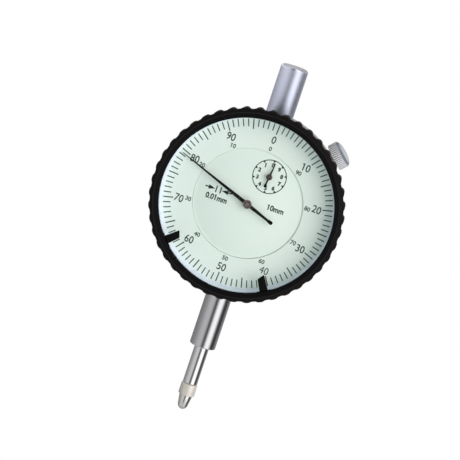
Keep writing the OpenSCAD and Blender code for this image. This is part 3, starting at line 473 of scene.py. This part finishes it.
def copyOf(name):
    # the CAD shape of a node in the dial's own directions
    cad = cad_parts[name]
    bm = bmesh.new()
    bm.from_mesh(cad.data)
    bmesh.ops.transform(bm, matrix=onDial.inverted() @ cad.matrix_world, verts=bm.verts)
    bmesh.ops.remove_doubles(bm, verts=bm.verts, dist=joinWithin)
    return bm


def soften(bm, chosen, size, segments=3):
    edges = [e for e in bm.edges if e.calc_face_angle(0) > foldFrom and all(chosen(v.co) for v in e.verts)]
    roundOff(bm, edges, size, segments)


def addPiece(name, bm, place, finishName, body, nodes=()):
    bmesh.ops.transform(bm, matrix=place, verts=bm.verts)
    for face in bm.faces:
        face.smooth = True
    for edge in bm.edges:
        edge.smooth = edge.calc_face_angle(0) < math.radians(sharpFrom)
    mesh = bpy.data.meshes.new(name)
    bm.to_mesh(mesh)
    bm.free()
    mesh.materials.append(finishes[finishName])
    piece = bpy.data.objects.new(name, mesh)
    bpy.context.scene.collection.objects.link(piece)
    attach(piece, body)
    if nodes:
        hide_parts(*nodes)
    return piece


def paint(piece, place, names, choose):
    # more finishes on a piece: choose gives each face its number by where it lies in millimetres
    for name in names:
        piece.data.materials.append(finishes[name])
    home = place.inverted()
    for face in piece.data.polygons:
        face.material_index = int(choose(home @ face.center, face.normal))


bezel = {
    "bumps": 44, "first": 6.0, "width": 2.8, "power": 2.6, "stepsPerBump": 12, "radius": 28.68,
    # height of the bumps along the depth, over valleys that run out to the skirt
    "ribs": [
        (9.5, 0.0), (10.4, 0.7), (11.4, 1.01), (13.0, 0.868), (14.4, 0.598), (15.8, 0.368), (16.5, 0.28),
        (17.0, 0.0)],
    "gripInside": 27.4, "gripFrom": 9.4,
    "outline": [
        (26.58, 6.7, 0.12), (27.68, 6.7, 0.3), (27.68, 9.4), (27.72, 10.0), (27.84, 10.7), (27.98, 11.5),
        (28.18, 13.0), (28.45, 14.4), (28.68, 15.8), (28.6, 16.3), (28.38, 16.68), (28.05, 16.92), (27.75, 17.0),
        (27.45, 17.0, 0.1), (26.06, 16.64), (25.98, 16.54), (25.98, 16.4), (26.88, 16.4), (26.88, 15.8),
        (25.98, 15.8), (25.98, 15.5), (26.58, 15.5), (26.58, 10.6), (26.98, 10.6), (26.98, 10.08), (26.58, 10.08),
        (26.58, 8.5), (27.18, 8.5), (27.18, 7.7), (26.58, 7.7),
    ],
    # the lip band carries a painted bluish reflection, and the strip out to edgeInside a painted highlight of the
    # front ridge
    "lipInside": 27.36, "edgeInside": 27.75, "lipFrom": 14.8,
}


def ramp(points, value):
    for (x0, y0), (x1, y1) in zip(points, points[1:]):
        if x0 <= value <= x1:
            return y0 + (y1 - y0) * (value - x0) / (x1 - x0)
    return 0.0


def bumpAt(angle):
    # share of the bump's height around the ring, with a broad top
    pitch = 2 * math.pi / bezel["bumps"]
    across = ((angle - math.radians(90 - bezel["first"])) / pitch + 0.5) % 1 - 0.5
    away = abs(across) * pitch * bezel["radius"]
    return max(0.0, 1 - (away / bezel["width"] * 2) ** bezel["power"])


def makeBezel():
    bm = lathe(bezel["outline"], bezel["bumps"] * bezel["stepsPerBump"], 3)
    for vert in bm.verts:
        radius = fromAxis(vert.co)
        if radius > bezel["gripInside"] and vert.co.z > bezel["gripFrom"]:
            out = bumpAt(math.atan2(vert.co.y, vert.co.x)) * ramp(bezel["ribs"], vert.co.z)
            vert.co.x *= 1 + out / radius
            vert.co.y *= 1 + out / radius
    piece = addPiece("bezelRing", bm, onDial, "bezelGrip", "bezel", ["bezel"])

    # lip faces get the black with a painted bluish reflection, the front edge strip a painted highlight
    def lipOrEdge(spot, normal):
        if spot.z < bezel["lipFrom"] or fromAxis(spot) > bezel["edgeInside"]:
            return 0
        return 1 if fromAxis(spot) < bezel["lipInside"] else 2

    paint(piece, onDial, ["bezelLipReflection", "bezelEdgeHighlight"], lipOrEdge)


makeBezel()
print("bezel made")


cap = {
    "outline": [(3.42, 0), (4.2, 0, 0.15), (4.2, 15.9, 0.95), (0, 15.9), (0, 14.1), (3.42, 14.1)],
    "topFrom": 0.74,        # below the highest point
}


def makeCap():
    low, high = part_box("dust_cap")
    place = Matrix.Translation((0, 0, low.z)) @ Matrix.Scale(mm, 4)
    piece = addPiece("dustCap", lathe(cap["outline"], 96, 6), place, "cap", "case", ["dust_cap"])
    top = (high.z - low.z) / mm - cap["topFrom"]
    paint(piece, place, ["capTop"], lambda spot, normal: spot.z > top)


stem = {"outline": [
    (2.29, -20.5), (3.8, -20.5), (3.8, -26.03), (4.25, -26.03), (4.25, -26.8, 0.1), (4.0, -26.8),
    (4.0, -47.53, 0.35), (2.29, -47.53, 0.15), (2.29, -42.3), (2.59, -42.3), (2.59, -28.7), (2.29, -28.7)]}


def makeStem():
    addPiece("clampStem", lathe(stem["outline"], 96, 3), onPlunger, "stem", "case", ["stem"])


contact = {
    # measured up from the ball's lowest point
    "outline": [
        (0, 12.9), (1.25, 12.9, 0.2), (1.25, 8.39), (2.5, 8.39, 0.3), (2.5, 4.7, 0.3), (2.05, 4.7),
        (1.5, 1.1, 0.05), (1.4, 1.23), (0, 2.0)],
    "coneTop": 4.69, "ballRadius": 1.45,
}


def makeContact():
    place = Matrix.Translation((0, 0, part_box("contact_ball")[0].z)) @ Matrix.Scale(mm, 4)
    point = addPiece("contactPoint", lathe(contact["outline"], 72, 3), place, "contact", "plunger",
                     ["contact_point"])
    paint(point, place, ["cone"], lambda spot, normal: spot.z < contact["coneTop"])
    ball = bmesh.new()
    bmesh.ops.create_uvsphere(ball, u_segments=48, v_segments=32, radius=contact["ballRadius"])
    bmesh.ops.translate(ball, verts=ball.verts, vec=(0, 0, contact["ballRadius"]))
    addPiece("contactBall", ball, place, "ball", "plunger", ["contact_ball"])


clampScrew = {
    "angle": 44, "forward": 5.0, "ridges": 42, "stepsPerRidge": 4, "ridgeHeight": 0.24, "headInside": 3.8,
    # height along the screw, from the dial's axis
    "outline": [
        (0, 20.8), (1.4, 20.8, 0.2), (1.4, 28.4), (4.05, 28.4), (4.05, 29.2), (4.05, 30.1), (4.05, 31.0),
        (3.4, 31.7, 0.12), (2.5, 32.05), (1.3, 32.24), (0, 32.28)],
    # bands of the knob that get the painted shade of the grooves and the painted dark reflection of the outer
    # chamfer
    "grooves": (3.7, 3.978), "groovesFrom": 28.5, "edgeFrom": 31.0, "endFrom": 31.72,
}


def makeClampScrew():
    bm = lathe(clampScrew["outline"], clampScrew["ridges"] * clampScrew["stepsPerRidge"], 3)
    half = clampScrew["ridges"] * clampScrew["stepsPerRidge"] / 2
    for vert in bm.verts:
        radius = fromAxis(vert.co)
        column = round(math.atan2(vert.co.y, vert.co.x) / math.pi * half) % clampScrew["stepsPerRidge"]
        if radius > clampScrew["headInside"] and column == clampScrew["stepsPerRidge"] - 1:
            vert.co.x *= 1 - clampScrew["ridgeHeight"] / radius
            vert.co.y *= 1 - clampScrew["ridgeHeight"] / radius
    place = (Matrix.Translation((0, -clampScrew["forward"] * mm, dialZ))
             @ Matrix.Rotation(math.radians(clampScrew["angle"]), 4, "Y") @ Matrix.Scale(mm, 4))
    knob = addPiece("clampScrew", bm, place, "clamp", "clamp", ["clamp_screw"])
    inside, outside = clampScrew["grooves"]

    # the grooves get a painted shade, the outer chamfer a painted dark reflection, and the end its own finish
    def grooveEndOrEdge(spot, normal):
        if spot.z > clampScrew["edgeFrom"]:
            return 2 if spot.z > clampScrew["endFrom"] else 3
        return inside < fromAxis(spot) < outside and clampScrew["groovesFrom"] < spot.z < clampScrew["edgeFrom"]

    paint(knob, place, ["clampGrooveShade", "clampEnd", "clampEdgeDarkReflection"], grooveEndOrEdge)


makeCap()
makeStem()
makeContact()
makeClampScrew()
print("outside pieces made")


rear = {
    "rim": 0.35, "lugEdge": 0.3, "headEdge": 0.18,
    # where the slot faces painted as shade begin, and how straight back those faces look
    "near": 0.01, "lugFrom": 0.1, "slotFrom": 0.25, "facesBack": 0.9,
}


def makeBack():
    # cover and screws with softened edges, and painted shade in the screws' slots
    near = rear["near"]
    cover = copyOf("rear_cover")
    rim = max(fromAxis(v.co) for v in cover.verts) - near
    seat = min(v.co.z for v in cover.verts if fromAxis(v.co) > rim)
    lug = max(abs(v.co.x) for v in cover.verts if v.co.z < seat - rear["lugFrom"])
    soften(cover, lambda at: fromAxis(at) > rim and at.z < seat + near, rear["rim"])
    soften(cover, lambda at: abs(abs(at.x) - lug) < near and at.z < seat - 2 * near, rear["lugEdge"])
    addPiece("rearCover", cover, onDial, "cover", "case", ["rear_cover"])
    screws = copyOf("rear_cover_screws")
    end = min(v.co.z for v in screws.verts)
    soften(screws, lambda at: at.z < end + near, rear["headEdge"])
    piece = addPiece("coverScrews", screws, onDial, "screw", "case", ["rear_cover_screws"])
    # painted shade: the slot faces that look back get a near-black finish
    paint(piece, onDial, ["slot"],
          lambda spot, normal: normal.y > rear["facesBack"] and spot.z > end + rear["slotFrom"])


makeBack()
print("back made")


hands = {
    "pointer": {"length": 24.4, "width": 1.16, "tip": 0.2, "tail": 9.4, "neck": 0.7, "bulb": 0.56, "angle": -69.8},
    "counter": {"length": 4.5, "width": 0.65, "tip": 0.24, "tail": 3.3, "neck": 0.43, "bulb": 0.4, "angle": 7},
    # in sizes of the bulb at the tail: its length, where the neck begins, and how round it is
    "bulbLong": 1.7, "neckFrom": 3.4, "bulbRound": 0.8, "edge": 0.03,
    # outlines of the hubs, from the foot and from the top
    "hub": {
        "foot": [(0.47, 0), (0.9, 0)],
        "top": [(0.9, -0.45), (1.35, -0.45), (1.35, 0, 0.22), (0.9, 0, 0.05), (0.86, -0.22), (0.72, -0.22),
                (0.7, 0.13, 0.05), (0, 0.17), (0, 0.14), (0.46, -0.26)],
        # the groove in the hub's top is painted with the hand's black as its shade
        "groove": (0.7, 0.89), "grooveShadeFrom": 0.24,
    },
    "counterHub": {
        "foot": [(0.47, 0.02), (0.92, 0.02)],
        "top": [(0.92, 0, 0.1), (0.3, 0.1), (0, 0.11), (0, 0.07), (0.47, -0.05)],
    },
    "counterThick": 0.15, "counterHubFrom": 0.16,
}


def handPlate(hand, thick):
    width, tip, neck, bulb = hand["width"] / 2, hand["tip"] / 2, hand["neck"] / 2, hand["bulb"]
    end, length = -hand["tail"], hand["length"]
    bulbTop, neckEnd = end + hands["bulbLong"] * bulb, end + hands["neckFrom"] * bulb
    outline = [
        (-tip, length - tip), (0, length), (tip, length - tip), (width, 0), (neck, neckEnd), (bulb, bulbTop),
        (bulb, end), (-bulb, end), (-bulb, bulbTop), (-neck, neckEnd), (-width, 0)]
    return plate(outline, thick, [(index, hands["bulbRound"] * bulb) for index in (8, 7, 6, 5)], hands["edge"])


def hubShape(hub, low, high, steps, segments):
    foot = [(radius, low + height) for radius, height in hub["foot"]]
    return lathe(foot + [(radius, high + height, *more) for radius, height, *more in hub["top"]], steps, segments)


def makePointer():
    pointer, hub = hands["pointer"], hands["hub"]
    low, high = forward("pointer")
    addPiece("mainPointer", handPlate(pointer, high - low), onDial @ turnOnDial(pointer["angle"], height=low),
             "hand", "centre_arbor", ["pointer"])
    low, high = forward("pointer_hub")
    piece = addPiece("pointerHub", hubShape(hub, low, high, 64, 4), onDial, "hub", "centre_arbor", ["pointer_hub"])
    # painted shade: the groove in the hub's top gets the hand's black
    inside, outside = hub["groove"]
    paint(piece, onDial, ["hand"],
          lambda spot, normal: inside < fromAxis(spot) < outside and spot.z > high - hub["grooveShadeFrom"])


def makeCounterHand(centre):
    low, high = forward("counter_hand")
    hand = handPlate(hands["counter"], hands["counterThick"])
    bmesh.ops.transform(hand, matrix=turnOnDial(hands["counter"]["angle"]), verts=hand.verts)
    merge(hand, hubShape(hands["counterHub"], 0, high - low, 48, 3), Matrix.Identity(4))
    piece = addPiece("counterHand", hand, onDial @ turnOnDial(0, centre, low), "hand", "counter_arbor",
                     ["counter_hand"])
    paint(piece, onDial, ["smallHub"], lambda spot, normal: spot.z > low + hands["counterHubFrom"])


arborLow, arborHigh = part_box("counter_arbor")
counterAt = ((arborLow.x + arborHigh.x) / 2 / mm, ((arborLow.z + arborHigh.z) / 2 - dialZ) / mm)
makePointer()
makeCounterHand(counterAt)

markers = {
    "low": {"angle": 150, "edge": -1}, "high": {"angle": 228, "edge": 1},
    "tipWidth": 2.1, "rootWidth": 2.6, "tip": 21.08, "slant": 0.9, "root": 26.6, "tipRound": 0.35, "edgeRound": 0.07,
    "footIn": 25.75, "footOut": 26.72, "footAngle": 9.4, "footSteps": 10,
}


def makeMarker(name):
    marker = markers[name]
    half, rootHalf, slant = markers["tipWidth"] / 2, markers["rootWidth"] / 2, markers["slant"]
    tip, root, tipRound = markers["tip"], markers["root"], markers["tipRound"]
    low, high = forward("limit_marker_" + name)
    left, right = (0, slant) if marker["edge"] < 0 else (slant, 0)
    tab = plate([(-rootHalf, root), (-half, tip + left), (half, tip + right), (rootHalf, root)], high - low,
                [(1, tipRound), (2, tipRound)], markers["edgeRound"])
    foot = bmesh.new()
    inner, outer = markers["footIn"], markers["footOut"]
    section = ((inner, 0), (outer, 0), (outer, high - low), (inner, high - low))
    face = foot.faces.new([foot.verts.new((radius, 0, height)) for radius, height in section])
    start = math.radians(90 - markers["footAngle"] / 2)
    bmesh.ops.rotate(foot, verts=foot.verts, cent=(0, 0, 0), matrix=Matrix.Rotation(start, 3, "Z"))
    bmesh.ops.spin(foot, geom=[face], cent=(0, 0, 0), axis=(0, 0, 1), angle=math.radians(markers["footAngle"]),
                   steps=markers["footSteps"])
    closeSeam(foot)
    merge(tab, foot, Matrix.Identity(4))
    addPiece("limitMarker_" + name, tab, onDial @ turnOnDial(marker["angle"], height=low), "marker",
             "limit_" + name, ["limit_marker_" + name])


makeMarker("low")
makeMarker("high")
print("hands and markers made")


ink = 0.02      # thickness of the print
flag = {"wide": 0.2, "drop": 0.13, "thick": 0.14}    # stroke at the head of a one, in digit heights
pastLetter = 1e-3


def textMesh(words, size, weight):
    curve = bpy.data.curves.new("words", "FONT")
    curve.body = words
    curve.size = size
    curve.extrude = ink / 2
    curve.offset = weight
    curve.resolution_u = 4
    holder = bpy.data.objects.new("words", curve)
    bpy.context.scene.collection.objects.link(holder)
    seen = holder.evaluated_get(bpy.context.evaluated_depsgraph_get())
    mesh = bpy.data.meshes.new_from_object(seen)
    bpy.data.objects.remove(holder)
    bpy.data.curves.remove(curve)
    return mesh


def textPoints(words, size, weight):
    mesh = textMesh(words, size, weight)
    points = [tuple(v.co.xy) for v in mesh.vertices]
    bpy.data.meshes.remove(mesh)
    return points


digitEnds = [y for x, y in textPoints("0", 1.0, 0.0)]
digitUnit = max(digitEnds) - min(digitEnds)     # height of a digit at size 1


def flagsOf(words, height, weight):
    # outlines of the strokes that the font leaves off its ones
    outlines = []
    out, drop, thick = (flag[key] * height for key in ("wide", "drop", "thick"))
    for index, letter in enumerate(words):
        if letter != "1":
            continue
        start = -height
        if index:
            start = max(x for x, y in textPoints(words[:index], height / digitUnit, weight)) + pastLetter
        stroke = [p for p in textPoints(words[:index + 1], height / digitUnit, weight) if p[0] > start]
        left, right = min(x for x, y in stroke), max(x for x, y in stroke)
        top, inside = max(y for x, y in stroke), (left + right) / 2
        outlines.append([(inside, top), (left - out, top - drop), (left - out, top - drop - thick),
                         (inside, top - thick)])
    return outlines


def write(bm, words, height, spot, weight=0.0, narrow=1.0, width=None):
    # words centred on a spot, with digits of that height, set to a width if one is given
    mesh = textMesh(words, height / digitUnit, weight)
    xs = [v.co.x for v in mesh.vertices]
    ys = [v.co.y for v in mesh.vertices]
    narrow = width / (max(xs) - min(xs)) if width else narrow
    place = Matrix.Translation((*spot, 0)) @ Matrix.Diagonal((narrow, 1, 1, 1)) @ Matrix.Translation(
        (-(min(xs) + max(xs)) / 2, -(min(ys) + max(ys)) / 2, 0))
    mesh.transform(place @ Matrix.Translation((0, 0, ink / 2)))
    bm.from_mesh(mesh)
    bpy.data.meshes.remove(mesh)
    for outline in flagsOf(words, height, weight):
        merge(bm, plate(outline, ink), place)


def bar(bm, width, low, high, place):
    half = width / 2
    merge(bm, plate([(-half, low), (half, low), (half, high), (-half, high)], ink), place)


scale = {
    "turn": 4.0, "lines": 100, "majorEvery": 5, "numerals": 10, "outer": 25.25,
    "minor": 23.0, "minorWidth": 0.31, "major": 22.25, "majorWidth": 0.33,
    "numeralAt": 20.5, "numeral": 2.22, "weight": 0.042, "narrow": 0.88,
    "openNumeral": "40", "openWeight": 0.0,     # a bolder four would close its eye
    "smallAt": 17.7, "small": 1.25, "smallWeight": 0.05,
}


def makeRingPrint():
    top = forward("dial_ring")[1]
    lines, numerals, small = bmesh.new(), bmesh.new(), bmesh.new()
    for index in range(scale["lines"]):
        kind = "minor" if index % scale["majorEvery"] else "major"
        bar(lines, scale[kind + "Width"], scale[kind], scale["outer"], turnOnDial(360 / scale["lines"] * index))
    count, step = scale["numerals"], scale["lines"] // scale["numerals"]
    for index in range(count):
        turn = turnOnDial(360 / count * index)
        words = str(index * step)
        spot = turn @ Vector((0, scale["numeralAt"], 0))
        weight = scale["openWeight" if words == scale["openNumeral"] else "weight"]
        write(numerals, words, scale["numeral"], spot.xy, weight, scale["narrow"])
        spot = turn @ Vector((0, scale["smallAt"], 0))
        write(small, str((count - index) % count * step), scale["small"], spot.xy, scale["smallWeight"])
    place = onDial @ turnOnDial(scale["turn"], height=top)
    addPiece("scaleLines", lines, place, "ink", "bezel")
    addPiece("scaleNumerals", numerals, place, "ink", "bezel")
    addPiece("scaleSmallNumerals", small, place, "paleInk", "bezel")


middleDial = {"radius": 16.42, "edge": 0.05, "drop": 0.12, "rimFrom": 16, "topWithin": 0.05}


def makeMiddleDial():
    # the inner dial, a little deeper than the ring around it and closer to it
    top = forward("inner_dial")[1]
    bm = copyOf("inner_dial")
    for vert in bm.verts:
        radius = fromAxis(vert.co)
        if radius > middleDial["rimFrom"]:
            vert.co.x *= middleDial["radius"] / radius
            vert.co.y *= middleDial["radius"] / radius
        if vert.co.z > top - middleDial["topWithin"]:
            vert.co.z -= middleDial["drop"]
    soften(bm, lambda at: fromAxis(at) > middleDial["rimFrom"], middleDial["edge"], 2)
    addPiece("middleDial", bm, onDial, "dial", "case", ["inner_dial"])


middlePrint = {
    "circle": 5.0, "circleWidth": 0.27, "digits": 10, "markDeep": 0.72, "markWide": 0.9,
    "digitAt": 3.6, "digit": 1.15, "weight": 0.08, "wordWeight": 0.075,
    "words": [
        {"words": "10mm", "at": (8.45, 0.95), "digit": 1.6, "width": 4.9},
        {"words": "0.01mm", "at": (-9.4, -1.4), "digit": 1.65, "width": 6.6}],
    # half of the pair of arrows: the bar's place, half width and half height, then the arrow's outline
    "arrowsAt": (-9.5, 1.1), "bar": (0.68, 0.17, 1.0),
    "arrow": [(-1.0, 0), (-3.1, 0.68), (-3.0, 0.19), (-4.1, 0.19), (-4.1, -0.19), (-3.0, -0.19), (-3.1, -0.68)],
}


def makeMiddlePrint():
    top = forward("inner_dial")[1] - middleDial["drop"]
    dark, black = bmesh.new(), bmesh.new()
    here = Matrix.Translation((counterAt[0], counterAt[1], 0))
    radius, half = middlePrint["circle"], middlePrint["circleWidth"] / 2
    merge(dark, lathe([(radius - half, 0), (radius + half, 0), (radius + half, ink), (radius - half, ink)]), here)
    deep, wide = middlePrint["markDeep"], middlePrint["markWide"]
    for index in range(middlePrint["digits"]):
        degrees = 360 / middlePrint["digits"] * index
        merge(black, plate([(-wide / 2, radius), (0, radius - deep), (wide / 2, radius)], ink),
              here @ turnOnDial(degrees))
        spot = here @ turnOnDial(-degrees) @ Vector((0, middlePrint["digitAt"], 0))
        write(black, str(index), middlePrint["digit"], spot.xy, middlePrint["weight"])
    for mark in middlePrint["words"]:
        write(black, mark["words"], mark["digit"], mark["at"], middlePrint["wordWeight"], width=mark["width"])
    at, half, tall = middlePrint["bar"]
    barOutline = [(-at - half, -tall), (-at + half, -tall), (-at + half, tall), (-at - half, tall)]
    for side in (1, -1):
        place = Matrix.Translation((*middlePrint["arrowsAt"], 0)) @ Matrix.Diagonal((side, 1, 1, 1))
        merge(black, plate(barOutline, ink), place)
        merge(black, plate(middlePrint["arrow"], ink), place)
    bmesh.ops.recalc_face_normals(black, faces=black.faces)     # one of the arrows is mirrored
    bmesh.ops.recalc_face_normals(dark, faces=dark.faces)
    place = onDial @ turnOnDial(0, height=top)
    addPiece("middleLines", dark, place, "ink", "case")
    addPiece("middleMarks", black, place, "blackInk", "case")


makeMiddleDial()
makeRingPrint()
makeMiddlePrint()
print("dial printed")
